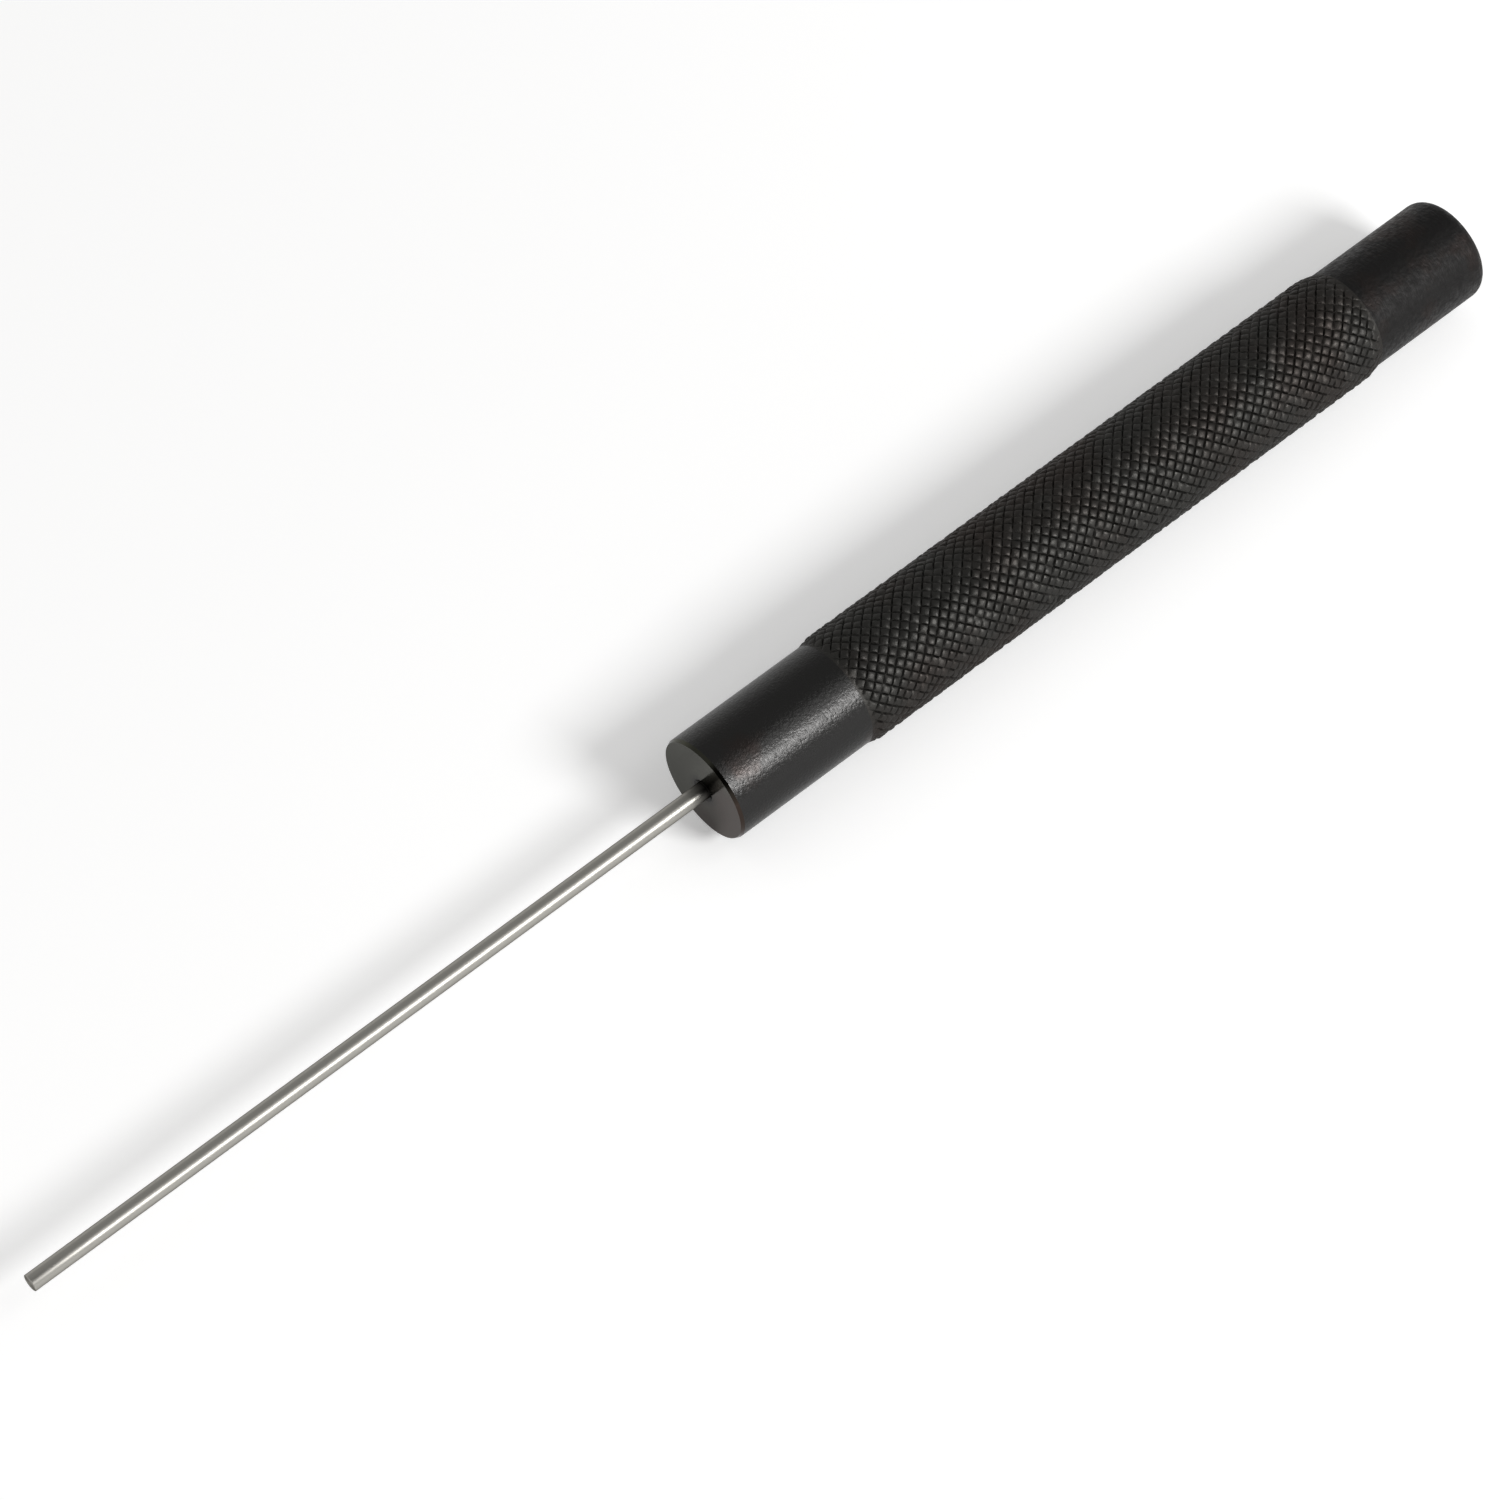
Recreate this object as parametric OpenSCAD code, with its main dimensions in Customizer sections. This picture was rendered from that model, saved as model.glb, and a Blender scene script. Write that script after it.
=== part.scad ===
// Pin punch: a slender ground pin pressed into a turned and knurled handle.
// The punch lies along X, with the tip of the pin at -X and the striking head at +X.
// It lies on the end rows of its knurl, with the floor at Z = 0.

/* [Handle] */
// Length of the handle, from its front face to its striking face
handle_l = 110.7; // [95:0.1:140]
// Diameter of the plain nose in front of the knurl
nose_d = 12.6; // [10:0.1:12.7]
// Length of the plain nose
nose_l = 18.4; // [8:0.1:26]
// Width of the chamfer on the front face, across the axis
nose_chamfer = 0.2; // [0.1:0.05:0.8]
// Length of that chamfer, along the axis
nose_chamfer_l = 0.4; // [0.1:0.05:1.5]
// Diameter of the plain striking head behind the knurl
head_d = 12.4; // [10:0.1:12.7]
// Length of the plain striking head
head_l = 16.5; // [8:0.1:26]
// Radius of the rounded edge of the striking face
head_round = 1.6; // [0.3:0.1:3]

/* [Knurl] */
// Diameter of the grip, over the crests of the knurl
grip_d = 13.45; // [13.2:0.05:16]
// Depth of the knurl, from crest to groove
knurl_depth = 0.4; // [0.2:0.02:0.6]
// Grooves of one hand, counted round the grip
knurl_starts = 28; // [20:1:29]
// Angle between the grooves and the axis
knurl_angle = 45; // [30:1:45]
// Length of the bevel from the nose up to the grip
front_bevel_l = 1.5; // [0.8:0.1:4]
// Length of the bevel from the grip down to the head
rear_bevel_l = 1.8; // [0.8:0.1:4]

/* [Pin] */
// Diameter of the pin
pin_d = 2; // [1.5:0.1:5]
// Length of the pin in front of the handle
pin_reach = 89.3; // [40:0.1:120]
// Length of the pin inside the handle
pin_seat = 25; // [10:1:60]
// How much thicker the seat in the handle is than the ground length, on the radius
seat_step = 0.03; // [0.02:0.01:0.1]
// Length of the taper between the ground length and the seat
taper_l = 0.6; // [0.6:0.1:2]
// Length of that taper in front of the handle
taper_show = 0.1; // [0.1:0.1:0.5]
// Chamfer on the edge of the tip
tip_chamfer = 0.06; // [0.02:0.02:0.3]
// Chamfer on the inner end of the pin, which leads it into the bore
lead_chamfer = 0.25; // [0.1:0.05:0.5]

/* [Bore] */
// Gap between the pin and the wall of its bore
press_gap = 0.01; // [0.005:0.005:0.03]
// Width of the countersink round the pin, across the axis
mouth_w = 0.4; // [0.1:0.1:1]
// Full angle of the drill point at the bottom of the bore
drill_angle = 118; // [90:1:140]

/* [Hidden] */

turn_fn = 96;
edge_fn = 64;
// How far one turned length runs into the next
overrun = 0.1;
// Step at the foot of each bevel, where the grip stands on the plain turned end
bevel_step = 0.04;

nose_r = nose_d / 2;
head_r = head_d / 2;
grip_r = grip_d / 2;
pin_r = pin_d / 2;
seat_r = pin_r + seat_step;
bore_r = seat_r + press_gap;

// Rows and columns of the knurl: crests and grooves take turns on this grid
columns = 2 * knurl_starts;
column_angle = 360 / columns;
pitch_d = grip_d - knurl_depth;
half_pitch = PI * pitch_d / columns / tan(knurl_angle);
grip_l = handle_l - nose_l - head_l;
rows = round(grip_l / half_pitch);
row_l = grip_l / rows;

// The flats of the end rings clear the round ends by the bevel's step
ring_share = 1 / cos(column_angle / 2);
front_ring_r = (nose_r + bevel_step) * ring_share;
rear_ring_r = (head_r + bevel_step) * ring_share;

// One row of crests at each end of the grip touches the floor, on the same lines along the grip
front_rest_row = ceil(front_bevel_l / row_l);
last_full_row = rows - ceil(rear_bevel_l / row_l);
rear_rest_row = last_full_row - (last_full_row - front_rest_row) % 2;

// The other crests stay inside the flats between the crests of those two rows
flat_share = cos(column_angle);
crest_ease = 0.005;
inner_crest_r = grip_r * flat_share - crest_ease;

// The pin's lead chamfer stops on the cone of the drill point
lead_r = seat_r - lead_chamfer;
drill_slope = tan(drill_angle / 2);
bore_l = pin_seat + press_gap - (bore_r - lead_r) / drill_slope;

// Places along X, and the height of the axis over the floor
tip_x = -(pin_reach + handle_l) / 2;
face_x = tip_x + pin_reach;
axis_z = grip_r * flat_share;

// Radius of the grip at one point of the knurl's grid
function is_crest(row, column) = (row - front_rest_row + column) % 2 == 0;
function crest_r(row) = row == front_rest_row || row == rear_rest_row ? grip_r : inner_crest_r;
function bevel_r(ring_r, run, bevel_l) = ring_r + (grip_r - ring_r) * run / bevel_l;
function knurl_r(row, column) =
    row == 0 ? front_ring_r
    : row == rows ? rear_ring_r
    : min(
        is_crest(row, column) ? crest_r(row) : grip_r - knurl_depth,
        bevel_r(front_ring_r, row * row_l, front_bevel_l),
        bevel_r(rear_ring_r, grip_l - row * row_l, rear_bevel_l)
    );

// The first line of crests stands one column beside straight down, so the punch lies on a flat
function knurl_point(row, column) =
    let (r = knurl_r(row, column), turn = (column + 1) * column_angle)
    [r * cos(turn), r * sin(turn), row * row_l];

function grid_index(row, column) = row * columns + column % columns;

// Two facets between four neighbours on the grid, folded along the groove
function knurl_facets(row, column) =
    let (
        a = grid_index(row, column),
        b = grid_index(row, column + 1),
        c = grid_index(row + 1, column + 1),
        d = grid_index(row + 1, column)
    )
    is_crest(row, column) ? [[a, d, b], [d, c, b]] : [[a, d, c], [a, c, b]];

// Turned pieces are drawn along Z from the front face, then laid along X
module lay_along_x() {
    translate([face_x, 0, axis_z])
        rotate([0, 90, 0])
            children();
}

module nose() {
    rotate_extrude($fn = turn_fn)
        polygon([
            [0, 0],
            [nose_r - nose_chamfer, 0],
            [nose_r, nose_chamfer_l],
            [nose_r, nose_l + overrun],
            [0, nose_l + overrun]
        ]);
}

module knurled_grip() {
    front_hub = (rows + 1) * columns;
    rear_hub = front_hub + 1;
    points = [
        for (row = [0 : rows], column = [0 : columns - 1]) knurl_point(row, column),
        [0, 0, 0],
        [0, 0, grip_l]
    ];
    sides = [
        for (row = [0 : rows - 1], column = [0 : columns - 1])
            each knurl_facets(row, column)
    ];
    front_end = [
        for (column = [0 : columns - 1])
            [front_hub, grid_index(0, column), grid_index(0, column + 1)]
    ];
    rear_end = [
        for (column = [0 : columns - 1])
            [rear_hub, grid_index(rows, column + 1), grid_index(rows, column)]
    ];
    translate([0, 0, nose_l])
        polyhedron(points, concat(sides, front_end, rear_end));
}

module striking_head() {
    rotate_extrude($fn = turn_fn) {
        polygon([
            [0, handle_l - head_l - overrun],
            [head_r, handle_l - head_l - overrun],
            [head_r, handle_l - head_round],
            [head_r - head_round, handle_l],
            [0, handle_l]
        ]);
        translate([head_r - head_round, handle_l - head_round])
            circle(head_round, $fn = edge_fn);
    }
}

// Blind bore for the pin: countersunk mouth, straight wall and drill point
module pin_bore() {
    mouth_r = bore_r + mouth_w;
    rotate_extrude($fn = turn_fn)
        polygon([
            [0, -overrun],
            [mouth_r + overrun, -overrun],
            [bore_r, mouth_w],
            [bore_r, bore_l],
            [0, bore_l + bore_r / drill_slope]
        ]);
}

module handle() {
    color("#2c2b2a")
        lay_along_x()
            difference() {
                union() {
                    nose();
                    knurled_grip();
                    striking_head();
                }
                pin_bore();
            }
}

module pin() {
    color("#b8b5ae")
        lay_along_x()
            rotate_extrude($fn = turn_fn)
                polygon([
                    [0, -pin_reach],
                    [pin_r - tip_chamfer, -pin_reach],
                    [pin_r, -pin_reach + tip_chamfer],
                    [pin_r, -taper_show],
                    [seat_r, taper_l - taper_show],
                    [seat_r, pin_seat - lead_chamfer],
                    [lead_r, pin_seat],
                    [0, pin_seat]
                ]);
}

handle();
pin();
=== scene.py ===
# %% [markdown]
# # A pin punch with a knurled handle
# The punch is two pieces of steel: a turned and knurled handle that is blackened, and a slender
# ground pin pressed into it. This lesson builds both as round grids of rings in code, finishes them
# with node materials, and lights them like a small product photograph.
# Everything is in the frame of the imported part: X runs along the punch from the tip of the pin to
# the striking head, and the floor is at Z = 0.

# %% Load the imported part
import math

import bpy
import numpy as np
from mathutils import Matrix, Vector


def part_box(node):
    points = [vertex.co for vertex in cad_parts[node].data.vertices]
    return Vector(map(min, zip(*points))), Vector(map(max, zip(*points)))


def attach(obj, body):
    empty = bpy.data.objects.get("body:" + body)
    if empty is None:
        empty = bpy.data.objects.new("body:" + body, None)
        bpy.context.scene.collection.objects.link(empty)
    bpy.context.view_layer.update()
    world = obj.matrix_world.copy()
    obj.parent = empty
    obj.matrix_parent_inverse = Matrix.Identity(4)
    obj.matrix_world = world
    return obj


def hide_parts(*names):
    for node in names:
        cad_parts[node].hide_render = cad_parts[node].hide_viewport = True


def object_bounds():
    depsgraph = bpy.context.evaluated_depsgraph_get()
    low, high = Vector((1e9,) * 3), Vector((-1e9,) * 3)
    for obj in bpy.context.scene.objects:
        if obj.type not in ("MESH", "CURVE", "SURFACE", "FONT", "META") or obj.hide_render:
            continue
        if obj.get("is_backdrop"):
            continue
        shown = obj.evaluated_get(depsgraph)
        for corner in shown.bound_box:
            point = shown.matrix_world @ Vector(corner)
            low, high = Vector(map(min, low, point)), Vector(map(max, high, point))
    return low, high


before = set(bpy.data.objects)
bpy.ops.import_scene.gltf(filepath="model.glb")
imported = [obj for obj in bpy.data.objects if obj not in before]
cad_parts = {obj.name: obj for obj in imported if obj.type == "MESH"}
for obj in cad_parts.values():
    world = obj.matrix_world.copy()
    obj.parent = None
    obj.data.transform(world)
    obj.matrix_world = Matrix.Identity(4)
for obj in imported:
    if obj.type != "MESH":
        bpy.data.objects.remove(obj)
cad_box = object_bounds()
MM = 0.001
print("CAD box in mm:", [[round(c / MM, 3) for c in corner] for corner in cad_box])

# %% [markdown]
# ## Places along the punch
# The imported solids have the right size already, so the main places are read from their boxes. Small
# features such as chamfers and bevels are repeated as named values, in millimetres.
# Lengths along the handle are counted from its front face, and angles round it from straight down.

# %% Read the places
handle_low, handle_high = (np.array(corner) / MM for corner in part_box("handle"))
pin_low, pin_high = (np.array(corner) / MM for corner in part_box("pin"))
FACE_X, TIP_X = handle_low[0], pin_low[0]
HANDLE_L = handle_high[0] - FACE_X
PIN_REACH, PIN_SEAT = FACE_X - TIP_X, pin_high[0] - FACE_X
AXIS_Z = (pin_low[2] + pin_high[2]) / 2
# The crests stay a hair inside the box of the solid
BOX_EASE = 0.004
CREST_R = handle_high[1] - BOX_EASE
print(f"front face at x {FACE_X:.2f}, tip at x {TIP_X:.2f}, axis {AXIS_Z:.3f} mm over the floor")
print(f"handle {HANDLE_L:.1f} mm long, knurl crests at radius {CREST_R:.3f} mm")

# %% [markdown]
# ## Round grids
# A lathe makes round pieces, and a mesh of rings is the same idea: each ring has one point per
# column, and neighbouring rings are joined by faces. Blender's Screw or Spin tool can do that from a
# profile, but the knurl needs its own radius at every single point, so the rings are made as arrays.
# The same arrays give an unrolled UV map, with the way round in U and the way along in V.


# %% A ring of points, and the faces between rings
def ring(x, radius, angles):
    """Points of one ring at x; the radius is one number, or one for each column."""
    radius = np.broadcast_to(radius, angles.shape)
    return np.stack(
        [
            np.full(angles.shape, x),
            radius * np.sin(angles),
            AXIS_Z - radius * np.cos(angles),
        ],
        axis=1,
    )


def cells(first, last, columns):
    """Corners a, b, c, d of every cell from ring first to ring last, as (ring, column)."""
    i, j = np.meshgrid(np.arange(first, last), np.arange(columns), indexing="ij")
    i, j = i.ravel(), j.ravel()
    return (i, j), (i, j + 1), (i + 1, j + 1), (i + 1, j)


def faces_of(*corners):
    """One face per cell through the corners that are given."""
    return np.stack([np.stack(corner, axis=1) for corner in corners], axis=1)


# %% A closed round mesh from its rings
def round_mesh(name, rings, run, face_groups, ends, end_materials=(0, 0)):
    """A closed mesh: rings of points, how far each has run in V, faces by material, two end points."""
    rings, columns = np.array(rings), len(rings[0])
    count = len(rings)
    points = np.vstack([rings.reshape(-1, 3), ends]) * MM
    polygons, uvs, materials = [], [], []
    for material, faces in face_groups:
        index = faces[..., 0] * columns + faces[..., 1] % columns
        polygons += index.tolist()
        u, v = faces[..., 1] / columns, run[faces[..., 0]]
        uvs.append(np.stack([u, v], axis=-1).reshape(-1, 2))
        materials += [material] * len(faces)
    fan = np.arange(columns)
    for end, edge, order in ((0, 0, (1, 0)), (1, count - 1, (0, 1))):
        tip = np.full(columns, count * columns + end)
        rim = [edge * columns + (fan + step) % columns for step in order]
        polygons += np.stack([tip, *rim], axis=1).tolist()
        u = np.stack([fan + 0.5, fan + order[0], fan + order[1]], axis=1) / columns
        v = np.broadcast_to([float(end), run[edge], run[edge]], u.shape)
        uvs.append(np.stack([u, v], axis=-1).reshape(-1, 2))
        materials += [end_materials[end]] * columns
    mesh = bpy.data.meshes.new(name)
    mesh.from_pydata(points.tolist(), [], polygons)
    mesh.polygons.foreach_set("material_index", materials)
    unrolled = mesh.uv_layers.new(name="OFBake")
    unrolled.uv.foreach_set("vector", np.vstack(uvs).ravel())
    mesh.validate()
    return mesh


def run_of(profile):
    """How far each point of a profile has run along it, from just over 0 to just under 1."""
    steps = np.hypot(*np.diff(np.array(profile), axis=0).T)
    run = np.concatenate([[0], np.cumsum(steps)])
    return 0.01 + 0.98 * run / run[-1]


# %% [markdown]
# ## The knurl
# A diamond knurl is rolled by two wheels that press crossing spiral grooves into the bar. Along each
# spiral the groove is a narrow V, and what stays between the grooves is a low pillow with a broad top.
# A bump texture would leave the outline of the grip smooth, so the grooves are real geometry: a fine
# grid follows the spirals, and every cell is folded along the groove beside it.
# Each pillow gets a slightly different height and tilt, which makes single crests glint.
# At both ends the grooves run down a bevel and fade out where it meets the plain bar.

# %% Sizes of the knurl
STARTS = 28
NOSE_L, HEAD_L = 18.4, 16.5
NOSE_R, HEAD_R = 6.3, 6.2
FRONT_BEVEL_L, REAR_BEVEL_L = 1.5, 1.8
GROOVE_R = 6.42
# The grooves reach their full depth at this share of a bevel's length
FULL_DEPTH_SHARE = 0.55
# Share of a half pitch that a groove's flank takes, and share of the height that domes a top
GROOVE_SHARE, DOME_SHARE = 0.4, 0.24
# Usual height of a pillow, and how much its height and its two tilts vary
USUAL_HEIGHT = 0.92
SPREADS = (0.05, 0.52, 0.52)
# Steps of the grid in one half pitch
FINE = 4
HALF_PITCHES = 2 * STARTS
GRIP_L = HANDLE_L - NOSE_L - HEAD_L
KNURL_ROWS = 104
COLUMNS = HALF_PITCHES * FINE
angles = (np.arange(COLUMNS) / FINE + 1) * 2 * np.pi / HALF_PITCHES
print(f"{KNURL_ROWS} half pitches of {GRIP_L / KNURL_ROWS:.3f} mm along, {HALF_PITCHES} round")


# %% Height of the pillows
def from_groove(spiral):
    """0 in a groove of one hand and 1 halfway between two of them."""
    return 1 - np.abs(np.mod(spiral, 2) - 1)


def pillow(u, v, chance):
    """Height from 0 to about 1 over the knurl, at column u and row v in half pitches."""
    right, left = u + v, u - v
    shape = 1.0
    for off in (from_groove(right), from_groove(left)):
        flank = np.minimum(off / GROOVE_SHARE, 1)
        shape = shape * flank * (2 - flank) * (1 - DOME_SHARE * (1 - off) ** 2)
    p, q = np.floor(right / 2), np.floor(left / 2)
    cell = ((p + q + 1).astype(int) % HALF_PITCHES, (p - q).astype(int) % (2 * KNURL_ROWS))
    high, lean_p, lean_q = (table[cell] for table in chance)
    lean = lean_p * (right / 2 - p - 0.5) + lean_q * (left / 2 - q - 0.5)
    return shape * (USUAL_HEIGHT + high + lean)


generator = np.random.default_rng(7)
chance = [
    np.clip(generator.normal(0, spread, (HALF_PITCHES, 2 * KNURL_ROWS)), -2 * spread, 2 * spread)
    for spread in SPREADS
]
print(f"pillows differ in height by up to {100 * np.abs(chance[0]).max():.0f} percent")

# %% Rings of the grip, with the bevels at both ends
knurl_rings = []
for step in range(KNURL_ROWS * FINE + 1):
    along = GRIP_L * step / (KNURL_ROWS * FINE)
    column = np.arange(COLUMNS) / FINE
    height = np.clip(pillow(column, step / FINE, chance), 0, 1)
    rise = min(along / FRONT_BEVEL_L, (GRIP_L - along) / REAR_BEVEL_L, 1)
    foot = NOSE_R if along < GRIP_L / 2 else HEAD_R
    top = foot + (CREST_R - foot) * rise
    depth = (CREST_R - GROOVE_R) * min(rise / FULL_DEPTH_SHARE, 1)
    radius = top - depth * (1 - height)
    knurl_rings.append((NOSE_L + along, radius))
print(len(knurl_rings), "rings of", COLUMNS, "points in the grip")

# %% [markdown]
# ## The handle
# Besides its knurl the handle is plain turning: a bore for the pin with a countersunk mouth, a faced
# front with a small chamfer, the nose, the head, and a rounded edge to the striking face.
# All of it is one mesh, from the bottom of the bore round to the striking face, so that the piece is
# closed like the real bar.

# %% Profile in front of the knurl, as places along the handle and radii
BORE_R, BORE_L, DRILL_L = 1.04, 24.85, 25.47
MOUTH_W = 0.4
# The outer edge of the mouth is broken a little
BREAK_L, BREAK_W = 0.04, 0.03
CHAMFER_W, CHAMFER_L = 0.2, 0.4
FACE_RINGS = (2.6, 3.8, 5.0)
# The plain ends stop just short of the first and the last ring of the grip
GRIP_GAP = 0.05
bore_profile = [
    (BORE_L, BORE_R),
    (MOUTH_W, BORE_R),
    (BREAK_L, BORE_R + MOUTH_W - BREAK_L),
    (0, BORE_R + MOUTH_W + BREAK_W),
]
face_profile = [(0, r) for r in (*FACE_RINGS, NOSE_R - CHAMFER_W)]
nose_profile = [(CHAMFER_L, NOSE_R), (NOSE_L - GRIP_GAP, NOSE_R)]
front_profile = bore_profile + face_profile + nose_profile
print(len(front_profile), "rings in front of the knurl")

# %% Profile behind the knurl, with the rounded edge of the head
HEAD_ROUND = 1.6
EDGE_STEPS = 8
STRUCK_RINGS = (3.6, 1.8)
rear_profile = [(HANDLE_L - HEAD_L + GRIP_GAP, HEAD_R)]
for k in range(EDGE_STEPS + 1):
    turn = math.pi / 2 * k / EDGE_STEPS
    rear_profile.append(
        (
            HANDLE_L - HEAD_ROUND * (1 - math.sin(turn)),
            HEAD_R - HEAD_ROUND * (1 - math.cos(turn)),
        )
    )
rear_profile += [(HANDLE_L, r) for r in STRUCK_RINGS]
print(len(rear_profile), "rings behind the knurl")

# %% Join the rings into one closed mesh
profile = front_profile + [(s, float(r.mean())) for s, r in knurl_rings] + rear_profile
all_rings = front_profile + knurl_rings + rear_profile
grip_first = len(front_profile)
grip_last = grip_first + len(knurl_rings) - 1
handle_points = [ring(FACE_X + s, r, angles) for s, r in all_rings]

TURNED, KNURLED, FACED, STRUCK = range(4)
face_first = len(bore_profile) - 1
face_last = len(bore_profile) + len(face_profile)
plain = [
    (material, faces_of(*cells(first, last, COLUMNS)))
    for material, first, last in (
        (TURNED, 0, face_first),
        (FACED, face_first, face_last),
        (TURNED, face_last, grip_first),
        (STRUCK, grip_last, len(all_rings) - 1),
    )
]
a, b, c, d = cells(grip_first, grip_last, COLUMNS)
middle_u = (a[1] + 0.5) / FINE
middle_v = (a[0] - grip_first + 0.5) / FINE
right_hand = from_groove(middle_u + middle_v) < from_groove(middle_u - middle_v)
folds = (
    (right_hand, ((a, b, d), (b, c, d))),
    (~right_hand, ((a, b, c), (a, c, d))),
)
folded = [faces_of(*half)[chosen] for chosen, halves in folds for half in halves]

handle_mesh = round_mesh(
    "handle",
    handle_points,
    run_of(profile),
    plain + [(KNURLED, np.vstack(folded))],
    [[FACE_X + DRILL_L, 0, AXIS_Z], [FACE_X + HANDLE_L, 0, AXIS_Z]],
    (TURNED, STRUCK),
)
triangles = sum(len(p.vertices) - 2 for p in handle_mesh.polygons)
print("handle:", len(handle_mesh.vertices), "points,", triangles, "triangles")


# %% Make it a piece of the punch
def make_piece(name, mesh, node, crease_deg):
    """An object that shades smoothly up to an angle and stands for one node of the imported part."""
    mesh.shade_smooth()
    mesh.set_sharp_from_angle(angle=math.radians(crease_deg))
    piece = bpy.data.objects.new(name, mesh)
    bpy.context.scene.collection.objects.link(piece)
    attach(piece, "root")
    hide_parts(node)
    print(f"{name} is dressed for the {node}")
    return piece


handle = make_piece("knurled_handle", handle_mesh, "handle", crease_deg=25)

# %% [markdown]
# ## The pin
# The pin is hardened wire, ground to size and cut square at the tip. It runs on into the bore, where
# a hair more diameter makes the press fit. A plain cylinder would miss what catches the light: the
# small break of the tip's edge and the taper at the mouth of the bore.

# %% Rings of the pin
PIN_R, SEAT_R = 1.0, 1.03
PIN_COLUMNS = 96
TIP_RINGS = (0.35, 0.7)
# The broken edge of the tip: how far behind the tip, and how far inside the pin's radius
TIP_EDGE = ((0, 0.075), (0.012, 0.045), (0.035, 0.015), (0.07, 0))
FIRST_RING, GROUND_RINGS = 8, 12
TAPER_FROM, TAPER_TO = -0.15, 0.5
LEAD = 0.25
pin_profile = [(-PIN_REACH, r) for r in TIP_RINGS]
pin_profile += [(-PIN_REACH + behind, PIN_R - inside) for behind, inside in TIP_EDGE]
ground_places = np.linspace(-PIN_REACH + FIRST_RING, TAPER_FROM, GROUND_RINGS)
pin_profile += [(s, PIN_R) for s in ground_places]
pin_profile += [(TAPER_TO, SEAT_R), (PIN_SEAT - LEAD, SEAT_R), (PIN_SEAT, SEAT_R - LEAD)]
pin_angles = np.arange(PIN_COLUMNS) * 2 * np.pi / PIN_COLUMNS
pin_mesh = round_mesh(
    "pin",
    [ring(FACE_X + s, r, pin_angles) for s, r in pin_profile],
    run_of(pin_profile),
    [(0, faces_of(*cells(0, len(pin_profile) - 1, PIN_COLUMNS)))],
    [[TIP_X, 0, AXIS_Z], [FACE_X + PIN_SEAT, 0, AXIS_Z]],
)
pin = make_piece("drive_pin", pin_mesh, "pin", crease_deg=28)
print("pin:", len(pin_mesh.vertices), "points")

# %% [markdown]
# ## Node helpers
# Materials and node groups are built from the same few steps: add a node, set its values, link its
# sockets. A short helper keeps those steps on one line each.


# %% Add, set and link nodes
# Most values of a noise texture are in this range
NOISE_LOW, NOISE_HIGH = 0.3, 0.7


def add(tree, kind, values=(), **settings):
    """A new node; values are socket names or numbers with a constant or a socket to link from."""
    node = tree.nodes.new(kind)
    for key, value in settings.items():
        setattr(node, key, value)
    for key, value in dict(values).items():
        if isinstance(value, bpy.types.NodeSocket):
            tree.links.new(value, node.inputs[key])
        else:
            node.inputs[key].default_value = value
    return node


def maths(tree, operation, first, second=0.0):
    """One math node's result."""
    return add(tree, "ShaderNodeMath", {0: first, 1: second}, operation=operation).outputs[0]


def span(tree, value, low, high, to_low, to_high):
    """Values from low to high become values from to_low to to_high, held at both ends."""
    sockets = {0: value, 1: low, 2: high, 3: to_low, 4: to_high}
    return add(tree, "ShaderNodeMapRange", sockets).outputs[0]


def mix(tree, share, first, second):
    """A blend of two colours."""
    node = add(tree, "ShaderNodeMix", data_type="RGBA")
    for socket, value in zip((node.inputs[0], node.inputs[6], node.inputs[7]), (share, first, second)):
        if isinstance(value, bpy.types.NodeSocket):
            tree.links.new(value, socket)
        else:
            socket.default_value = value
    return node.outputs[2]


def new_group(name, inputs, outputs):
    """An empty node group with named value sockets, and its input and output nodes."""
    group = bpy.data.node_groups.new(name, "ShaderNodeTree")
    for label, value in inputs.items():
        socket = group.interface.new_socket(label, in_out="INPUT", socket_type="NodeSocketFloat")
        socket.default_value = value
    for label in outputs:
        group.interface.new_socket(label, in_out="OUTPUT", socket_type="NodeSocketFloat")
    return group, group.nodes.new("NodeGroupInput"), group.nodes.new("NodeGroupOutput")


# %% [markdown]
# ## Turning marks
# A lathe tool and a grinding wheel leave fine rings round the work. On the nose they run round the
# bar, and on the front face they are circles round the pin. One coordinate serves both: the distance
# along the axis plus the distance from it changes along every one of these surfaces, and is the same
# all the way round. Noise that is squeezed along that coordinate gives rings of uneven depth.

# %% The group of turning marks
marks, marks_in, marks_out = new_group(
    "turning_marks", {"Feed": 6000.0, "Wander": 3.0}, ["Height", "Radius"]
)
place = add(marks, "ShaderNodeTexCoord").outputs["Object"]
centred = add(
    marks, "ShaderNodeVectorMath", {0: place, 1: (0, 0, AXIS_Z * MM)}, operation="SUBTRACT"
).outputs[0]
across = add(
    marks, "ShaderNodeVectorMath", {0: centred, 1: (0, 1, 1)}, operation="MULTIPLY"
).outputs[0]
from_axis = add(marks, "ShaderNodeVectorMath", {0: across}, operation="LENGTH").outputs["Value"]
outward = add(marks, "ShaderNodeVectorMath", {0: across}, operation="NORMALIZE").outputs[0]
along = add(marks, "ShaderNodeSeparateXYZ", {0: centred}).outputs[0]
way_round = add(marks, "ShaderNodeSeparateXYZ", {0: outward})
where = add(
    marks,
    "ShaderNodeCombineXYZ",
    {
        0: maths(marks, "MULTIPLY", maths(marks, "ADD", along, from_axis), marks_in.outputs["Feed"]),
        1: maths(marks, "MULTIPLY", way_round.outputs[1], marks_in.outputs["Wander"]),
        2: maths(marks, "MULTIPLY", way_round.outputs[2], marks_in.outputs["Wander"]),
    },
).outputs[0]
rings_noise = add(
    marks, "ShaderNodeTexNoise", {"Vector": where, "Scale": 1.0, "Detail": 3.0, "Roughness": 0.6}
)
marks.links.new(rings_noise.outputs[0], marks_out.inputs["Height"])
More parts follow.
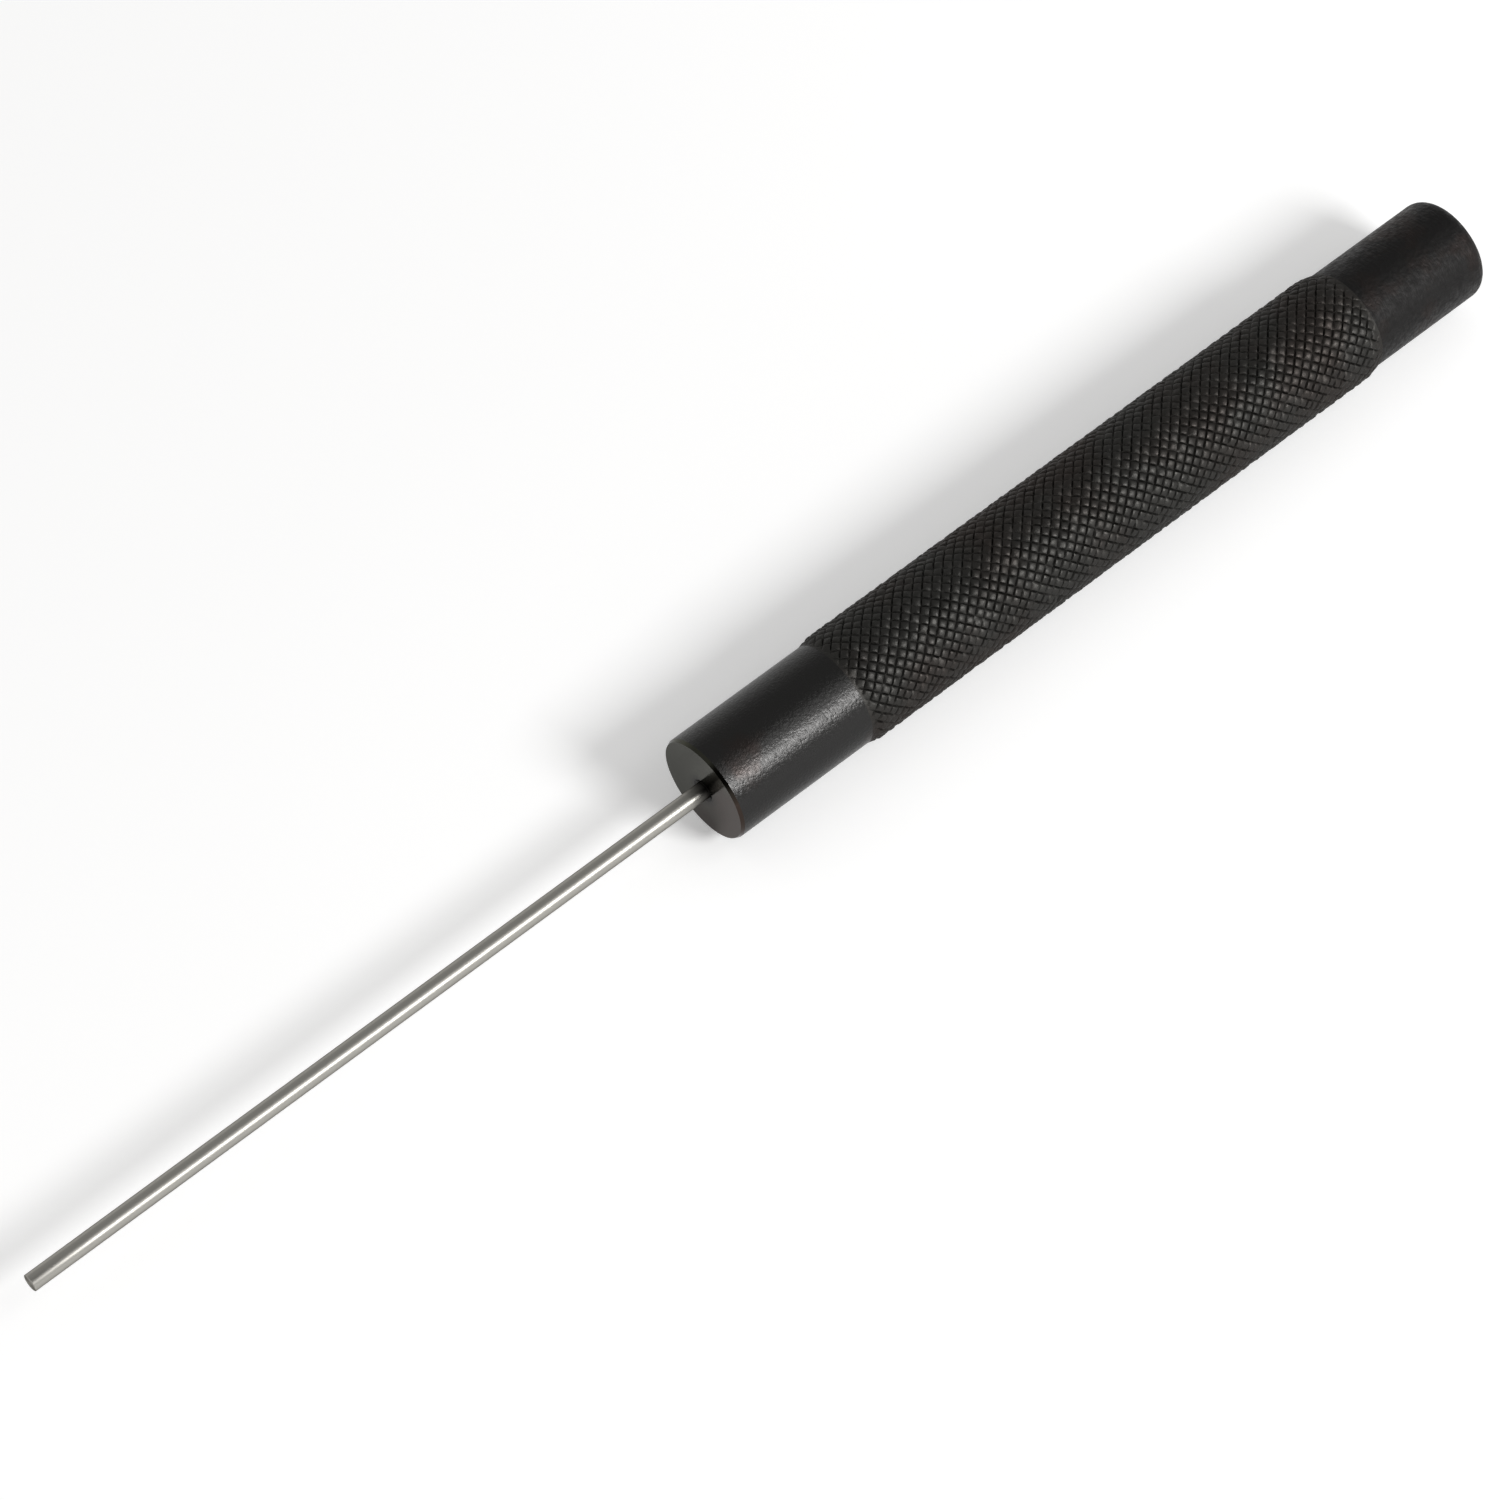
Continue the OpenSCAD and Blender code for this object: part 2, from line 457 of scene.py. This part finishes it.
marks.links.new(from_axis, marks_out.inputs["Radius"])
print("group", marks.name, "has", len(marks.nodes), "nodes")

# %% [markdown]
# ## Patina
# Blackened steel is never one even black: oil and handling leave brownish clouds, and the oxide has a
# fine grain. The bright pin has the same two things, only much fainter. So this is a group too: slow
# clouds as one mask, and a fine grain as another. The clouds can also be made to thicken towards the
# lower near side, as a painted warm reflection that tints that side brown.

# %% The group of patina
patina, patina_in, patina_out = new_group(
    "patina", {"Clouds": 140.0, "Grain": 2600.0, "Cover": 0.5, "Side": 0.0}, ["Stain", "Grain"]
)
# Side towards which the brown thickens: a painted warm reflection
WARM_SIDE = Vector((0, -0.9, -0.43))
spot = add(patina, "ShaderNodeTexCoord").outputs["Object"]
clouds = add(
    patina,
    "ShaderNodeTexNoise",
    {"Vector": spot, "Scale": patina_in.outputs["Clouds"], "Detail": 4.0, "Roughness": 0.55},
).outputs[0]
grain = add(
    patina,
    "ShaderNodeTexNoise",
    {"Vector": spot, "Scale": patina_in.outputs["Grain"], "Detail": 2.0, "Roughness": 0.6},
).outputs[0]
warm_lean = add(
    patina, "ShaderNodeVectorMath", {0: spot, 1: WARM_SIDE / (NOSE_R * MM)}, operation="DOT_PRODUCT"
).outputs["Value"]
warm_lean = maths(patina, "ADD", warm_lean, -WARM_SIDE.z * AXIS_Z / NOSE_R)
cover = maths(patina, "MULTIPLY", patina_in.outputs["Cover"], 0.7)
cover = maths(patina, "ADD", cover, maths(patina, "MULTIPLY", warm_lean, patina_in.outputs["Side"]))
least = maths(patina, "SUBTRACT", 0.85, cover)
stain = span(patina, clouds, least, maths(patina, "ADD", least, 0.22), 0.0, 1.0)
patina.links.new(stain, patina_out.inputs["Stain"])
patina.links.new(grain, patina_out.inputs["Grain"])
print("group", patina.name, "has", len(patina.nodes), "nodes")

# %% [markdown]
# ## Painted shade at the root of the pin
# The corner where the pin enters the handle is painted darker: painted shade between the two parts.
# It darkens the end of the pin and the face beside it alike, so a third group gives how near a point
# is to that corner, which is a circle.

# %% The group of painted shade at the pin's root
root_shade, root_shade_in, root_shade_out = new_group("painted_root_shade", {"Reach": 1.0}, ["Grime"])
near = add(root_shade, "ShaderNodeTexCoord").outputs["Object"]
near = add(
    root_shade, "ShaderNodeVectorMath", {0: near, 1: (FACE_X * MM, 0, AXIS_Z * MM)}, operation="SUBTRACT"
).outputs[0]
aside = add(
    root_shade, "ShaderNodeVectorMath", {0: near, 1: (0, 1, 1)}, operation="MULTIPLY"
).outputs[0]
aside = add(root_shade, "ShaderNodeVectorMath", {0: aside}, operation="LENGTH").outputs["Value"]
aside = maths(root_shade, "SUBTRACT", aside, PIN_R * MM)
ahead = add(root_shade, "ShaderNodeSeparateXYZ", {0: near}).outputs[0]
gap = maths(
    root_shade, "SQRT", maths(root_shade, "ADD", maths(root_shade, "POWER", aside, 2), maths(root_shade, "POWER", ahead, 2))
)
reach = maths(root_shade, "MULTIPLY", root_shade_in.outputs["Reach"], MM)
root_shade.links.new(span(root_shade, gap, 0.0, reach, 0.95, 0.0), root_shade_out.inputs[0])
print("group", root_shade.name, "has", len(root_shade.nodes), "nodes")

# %% [markdown]
# ## Blackened steel
# Black oxide is a thin dark layer on the steel that keeps its shape, so every turning mark still shows
# in the gloss. In the shader it is a very dark metal: almost no colour of its own, and a soft mirror
# of the lamp. Real oxide doesn't turn into a mirror at a flat angle, and the Specular Tint of a metal,
# which sets how strong that is, keeps the edges of the bar dark.


# %% Start a material
def new_material(name):
    """A material with a Principled BSDF: the material, its tree and its shader."""
    material = bpy.data.materials.new(name)
    material.use_nodes = True
    return material, material.node_tree, material.node_tree.nodes["Principled BSDF"]


def use_group(tree, group, **values):
    """A node that places a group, with its own values."""
    node = add(tree, "ShaderNodeGroup", node_tree=group)
    for label, value in values.items():
        node.inputs[label].default_value = value
    return node


def dark_edges(shader, tint):
    """A metal whose reflection at a flat angle is held back to a share of the full mirror."""
    shader.inputs["Metallic"].default_value = 1.0
    shader.inputs["Specular Tint"].default_value = (tint, tint, tint, 1)


def turned_gloss(tree, shader, amount):
    """Gloss that stretches across marks which run round the axis of the punch."""
    tangent = add(tree, "ShaderNodeTangent", direction_type="RADIAL", axis="X")
    tree.links.new(tangent.outputs[0], shader.inputs["Tangent"])
    shader.inputs["Anisotropic"].default_value = amount
    shader.inputs["Anisotropic Rotation"].default_value = 0.25


def relief(tree, shader, height, depth_mm):
    """Fine relief of the surface from a height that runs from 0 to 1."""
    bump = add(tree, "ShaderNodeBump", {"Height": height, "Distance": depth_mm * MM, "Strength": 1.0})
    tree.links.new(bump.outputs[0], shader.inputs["Normal"])


# %% [markdown]
# The handle has three plain turned finishes: the smooth nose, the faced front with its fine circles,
# and the head, which hammer blows have left dull. They differ only in a few numbers, so one function
# makes all three from the same three groups.

# %% Plain turned finishes of the handle
OXIDE_BROWN = (0.042, 0.0285, 0.0245, 1)
# Colour of the painted shade at the root of the pin
ROOT_SHADE_BLACK = (0.006, 0.005, 0.0045, 1)
STAIN_SHARE = 0.8
# How much the grain adds to the relief of the turning marks, and how far they stretch the gloss
GRAIN_RELIEF, TURNED_STRETCH = 1.2, 0.2


def plain_oxide(name, colour, rough, feed, grain, stain, depth_mm, tint, reach=0.01):
    """Turned and blackened steel; stain is its cover and how far it leans to the lower near side, a
    painted warm reflection; reach spreads the painted shade at the pin's root.
    """
    material, tree, shader = new_material(name)
    tool = use_group(tree, marks, Feed=feed, Wander=5.0)
    age = use_group(tree, patina, Clouds=120.0, Grain=grain, Cover=stain[0], Side=stain[1])
    # The root group darkens the colour near the pin's root: painted shade
    corner = use_group(tree, root_shade, Reach=reach)
    stained = maths(tree, "MULTIPLY", age.outputs["Stain"], STAIN_SHARE)
    body = mix(tree, stained, colour, OXIDE_BROWN)
    tree.links.new(mix(tree, corner.outputs["Grime"], body, ROOT_SHADE_BLACK), shader.inputs["Base Color"])
    gloss = span(tree, age.outputs["Grain"], NOISE_LOW, NOISE_HIGH, *rough)
    tree.links.new(gloss, shader.inputs["Roughness"])
    dark_edges(shader, tint)
    turned_gloss(tree, shader, TURNED_STRETCH)
    fine = maths(tree, "MULTIPLY", age.outputs["Grain"], GRAIN_RELIEF)
    relief(tree, shader, maths(tree, "ADD", tool.outputs["Height"], fine), depth_mm)
    print(name, "has", len(tree.nodes), "nodes")
    return material


BLACK = (0.037, 0.0365, 0.036, 1)
OLIVE = (0.049, 0.049, 0.039, 1)
DULL = (0.0255, 0.0248, 0.0246, 1)
turned = plain_oxide(
    "black_oxide_turned",
    BLACK,
    rough=(0.27, 0.39),
    feed=3000.0,
    grain=2900.0,
    stain=(0.45, 0),
    depth_mm=0.034,
    tint=0.78,
)
faced = plain_oxide(
    "black_oxide_faced",
    OLIVE,
    rough=(0.13, 0.2),
    feed=5000.0,
    grain=2600.0,
    # The second value leans the brown to the lower near side as a painted warm reflection
    stain=(0.6, 0.36),
    depth_mm=0.003,
    tint=0.8,
    reach=1.4,
)
struck = plain_oxide(
    "black_oxide_struck",
    DULL,
    rough=(0.48, 0.7),
    feed=3000.0,
    grain=1500.0,
    stain=(0.45, 0),
    depth_mm=0.08,
    tint=1.0,
)

# %% [markdown]
# Hands have rubbed the crests of the knurl, so they are a little smoother than the grooves. The
# grooves, and the crests in patches, are painted a little lighter: painted light that softens the
# shade in the grooves. Both follow from the distance to the axis, which the group of turning
# marks gives out. The grooves get their depth from the geometry.

# %% The knurled grip
# The grooves are painted a little lighter than the crests: painted light that softens their shade
LIT_GROOVE_BLACK = (0.046, 0.0448, 0.0422, 1)
CREST_BLACK = (0.043, 0.0419, 0.0397, 1)
# The finish of the crests is complete this far below the highest ones
CREST_BAND = 0.04
# How strongly the knurl is stained, and how much smoother its crests are
KNURL_STAIN_SHARE, CREST_RUB = 0.35, 0.06
knurled, tree, shader = new_material("black_oxide_knurled")
tool = use_group(tree, marks, Feed=1100.0, Wander=12.0)
age = use_group(tree, patina, Clouds=110.0, Grain=5200.0, Cover=0.6)
crest = span(tree, tool.outputs["Radius"], GROOVE_R * MM, (CREST_R - CREST_BAND) * MM, 0.0, 1.0)
# Where this share is low, the lighter groove colour paints light into the knurl
crest_colour_share = maths(tree, "MULTIPLY", crest, span(tree, tool.outputs["Height"], 0.35, 0.65, 0.3, 1.0))
body = mix(tree, crest_colour_share, LIT_GROOVE_BLACK, CREST_BLACK)
stained = maths(tree, "MULTIPLY", age.outputs["Stain"], KNURL_STAIN_SHARE)
tree.links.new(mix(tree, stained, body, OXIDE_BROWN), shader.inputs["Base Color"])
rubbed = maths(tree, "MULTIPLY", crest, CREST_RUB)
rough = span(tree, age.outputs["Grain"], NOISE_LOW, NOISE_HIGH, 0.46, 0.6)
tree.links.new(maths(tree, "SUBTRACT", rough, rubbed), shader.inputs["Roughness"])
dark_edges(shader, 0.66)
relief(tree, shader, age.outputs["Grain"], 0.03)
print(knurled.name, "has", len(tree.nodes), "nodes")

for material in (turned, knurled, faced, struck):
    handle.data.materials.append(material)

# %% [markdown]
# ## Ground steel
# The pin is bare steel, so it is a metal in the shader: its look is a mirror of the room, blurred
# along the pin by the grinding marks. The colour stays a middle grey, because ground steel with a
# film of oil sends back less than half of the light.

# %% The pin's steel
STEEL = (0.415, 0.405, 0.375, 1)
STEEL_DULL = (0.35, 0.338, 0.305, 1)
DULL_SHARE = 0.5
GROUND_STRETCH = 0.55
ground, tree, shader = new_material("ground_steel")
wheel = use_group(tree, marks, Feed=4200.0, Wander=1.6)
age = use_group(tree, patina, Clouds=260.0, Grain=4000.0, Cover=0.35)
# The root group darkens the pin's end near the face: painted shade
corner = use_group(tree, root_shade, Reach=2.2)
dulled = maths(tree, "MULTIPLY", age.outputs["Stain"], DULL_SHARE)
body = mix(tree, dulled, STEEL, STEEL_DULL)
tree.links.new(mix(tree, corner.outputs["Grime"], body, ROOT_SHADE_BLACK), shader.inputs["Base Color"])
gloss = span(tree, wheel.outputs["Height"], NOISE_LOW, NOISE_HIGH, 0.4, 0.48)
tree.links.new(gloss, shader.inputs["Roughness"])
dark_edges(shader, 0.06)
turned_gloss(tree, shader, GROUND_STRETCH)
relief(tree, shader, wheel.outputs["Height"], 0.0035)
pin.data.materials.append(ground)
print(ground.name, "has", len(tree.nodes), "nodes")

# %% [markdown]
# ## Camera
# The photograph was taken with a long lens from high above the front end. The camera's place follows
# from one known point: the middle of the handle's front face, the pixel where it shows, and how far
# away it is.

# %% Camera at the photograph's angle
IMAGE_SIZE = 1500
FOCAL_PX = 5960
SENSOR = 36.0
AZIMUTH, ELEVATION = math.radians(-41.0), math.radians(57.3)
FACE_PIXEL = (703.1, 790.5)
FACE_DEPTH = 0.6304
to_camera = Vector(
    (
        math.cos(ELEVATION) * math.sin(AZIMUTH),
        -math.cos(ELEVATION) * math.cos(AZIMUTH),
        math.sin(ELEVATION),
    )
)
right = Vector((0, 0, 1)).cross(to_camera).normalized()
up = to_camera.cross(right)
off_right = (FACE_PIXEL[0] - IMAGE_SIZE / 2) / FOCAL_PX
off_down = (FACE_PIXEL[1] - IMAGE_SIZE / 2) / FOCAL_PX
face_middle = Vector((FACE_X, 0, AXIS_Z)) * MM
ray = right * off_right - up * off_down - to_camera
lens = bpy.data.cameras.new("camera")
lens.sensor_width = SENSOR
lens.lens = FOCAL_PX * SENSOR / IMAGE_SIZE
camera = bpy.data.objects.new("camera", lens)
bpy.context.scene.collection.objects.link(camera)
axes = Matrix((right, up, to_camera)).transposed().to_4x4()
camera.matrix_world = Matrix.Translation(face_middle - ray * FACE_DEPTH) @ axes
bpy.context.scene.camera = camera
print(f"lens {lens.lens:.1f} mm, camera at {[round(c, 3) for c in camera.location]}")

# %% [markdown]
# ## Floor and room
# The punch lies on a white table under a big lamp in a pale room. The floor is a white diffuse
# surface. A small glow for the rays that come from the camera, or from a shiny surface, lifts it to
# full white and leaves the shadow in place. Further out, where the lamps don't reach, it glows more.
# The room is a soft gradient: bright low down, where the table and the walls are, and darker above.
# The camera and its stand hide a piece of the ceiling. That dark patch shows in the chamfer
# of the front face, which looks straight at the camera, and where the face mirrors the top of the pin.

# %% Floor
FLOOR_HALF = 4.0
FLOOR_WHITE = (0.9, 0.9, 0.9, 1)
FLOOR_GLOW, FAR_GLOW = 0.28, 0.62
GLOW_FROM, GLOW_TO = 0.06, 0.9
floor_mesh = bpy.data.meshes.new("floor")
floor_mesh.from_pydata(
    [(x * FLOOR_HALF, y * FLOOR_HALF, 0) for x, y in ((-1, -1), (1, -1), (1, 1), (-1, 1))],
    [],
    [(0, 1, 2, 3)],
)
floor = bpy.data.objects.new("floor", floor_mesh)
bpy.context.scene.collection.objects.link(floor)
floor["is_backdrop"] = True
paper, tree, shader = new_material("white_table")
shader.inputs["Base Color"].default_value = FLOOR_WHITE
shader.inputs["Roughness"].default_value = 1.0
shader.inputs["Specular IOR Level"].default_value = 0.0
shader.inputs["Emission Color"].default_value = (1, 1, 1, 1)
rays = add(tree, "ShaderNodeLightPath")
seen = maths(tree, "MAXIMUM", rays.outputs["Is Camera Ray"], rays.outputs["Is Glossy Ray"])
seen = maths(tree, "MAXIMUM", seen, rays.outputs["Is Transmission Ray"])
spot = add(tree, "ShaderNodeTexCoord").outputs["Object"]
away = add(tree, "ShaderNodeVectorMath", {0: spot}, operation="LENGTH").outputs["Value"]
glow = span(tree, away, GLOW_FROM, GLOW_TO, FLOOR_GLOW, FAR_GLOW)
tree.links.new(maths(tree, "MULTIPLY", seen, glow), shader.inputs["Emission Strength"])
floor.data.materials.append(paper)
print(f"floor {2 * FLOOR_HALF:.0f} m wide, glow from {FLOOR_GLOW} to {FAR_GLOW}")

# %% Room
ROOM_LOW, ROOM_HIGH = 1.0, 0.4
LOW_RISE = 0.48
# The patch behind the camera: its outer and inner half angle in degrees, and how much light it leaves
PATCH_ANGLES, PATCH_LIGHT = (36, 20), 0.05
world = bpy.data.worlds.new("room")
bpy.context.scene.world = world
world.use_nodes = True
tree = world.node_tree
direction = add(tree, "ShaderNodeTexCoord").outputs["Generated"]
rise = add(tree, "ShaderNodeSeparateXYZ", {0: direction}).outputs[2]
level = span(tree, rise, 0.0, LOW_RISE, ROOM_LOW, ROOM_HIGH)
near_camera = add(
    tree, "ShaderNodeVectorMath", {0: direction, 1: to_camera}, operation="DOT_PRODUCT"
).outputs["Value"]
patch_edges = [math.cos(math.radians(angle)) for angle in PATCH_ANGLES]
open_room = span(tree, near_camera, *patch_edges, 1.0, PATCH_LIGHT)
level = maths(tree, "MULTIPLY", level, open_room)
tree.links.new(level, tree.nodes["Background"].inputs["Strength"])
tree.nodes["Background"].inputs["Color"].default_value = (1, 0.995, 0.985, 1)
print("room from", ROOM_LOW, "at the horizon to", ROOM_HIGH, "overhead")

# %% [markdown]
# ## Lamps
# The key lamp stands in front, beside the pin. It draws the narrow white line along the pin and the
# broad sheen on the nose, and it is close enough that the head keeps only a weak sheen. A wider and
# much dimmer lamp above it softens the upper edge of that sheen.
# A lamp's power is worked out from the brightness of its surface.


# %% Place a soft lamp
def soft_lamp(name, towards, distance, width, height, brightness):
    """A rectangular lamp that faces the punch; brightness 1 is as bright as white paper."""
    lamp = bpy.data.lights.new(name, "AREA")
    lamp.shape = "RECTANGLE"
    lamp.size, lamp.size_y = width, height
    lamp.energy = brightness * math.pi * width * height
    piece = bpy.data.objects.new(name, lamp)
    bpy.context.scene.collection.objects.link(piece)
    direction = Vector(towards).normalized()
    piece.location = direction * distance
    piece.rotation_euler = direction.to_track_quat("Z", "Y").to_euler()
    print(f"{name}: {lamp.energy:.2f} W at {[round(c, 2) for c in piece.location]}")
    return piece


soft_lamp(
    "key_lamp", (0.26, -0.735, 0.61), distance=0.7, width=0.21, height=0.21, brightness=24.0
)
soft_lamp("top_lamp", (0.33, -0.40, 0.86), distance=1.0, width=0.5, height=0.34, brightness=1.6)

# %% [markdown]
# ## Finish
# The Standard view shows colours as they are written. The two boxes are printed, to set the size of
# the dressed punch beside the imported one.

# %% Print both boxes and finish
bpy.context.scene.view_settings.view_transform = "Standard"
boxes = {"cad": cad_box, "visual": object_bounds()}
boxes = {name: [list(corner) for corner in box] for name, box in boxes.items()}
for name, box in boxes.items():
    print(name, "box in mm:", [[round(c / MM, 3) for c in corner] for corner in box])
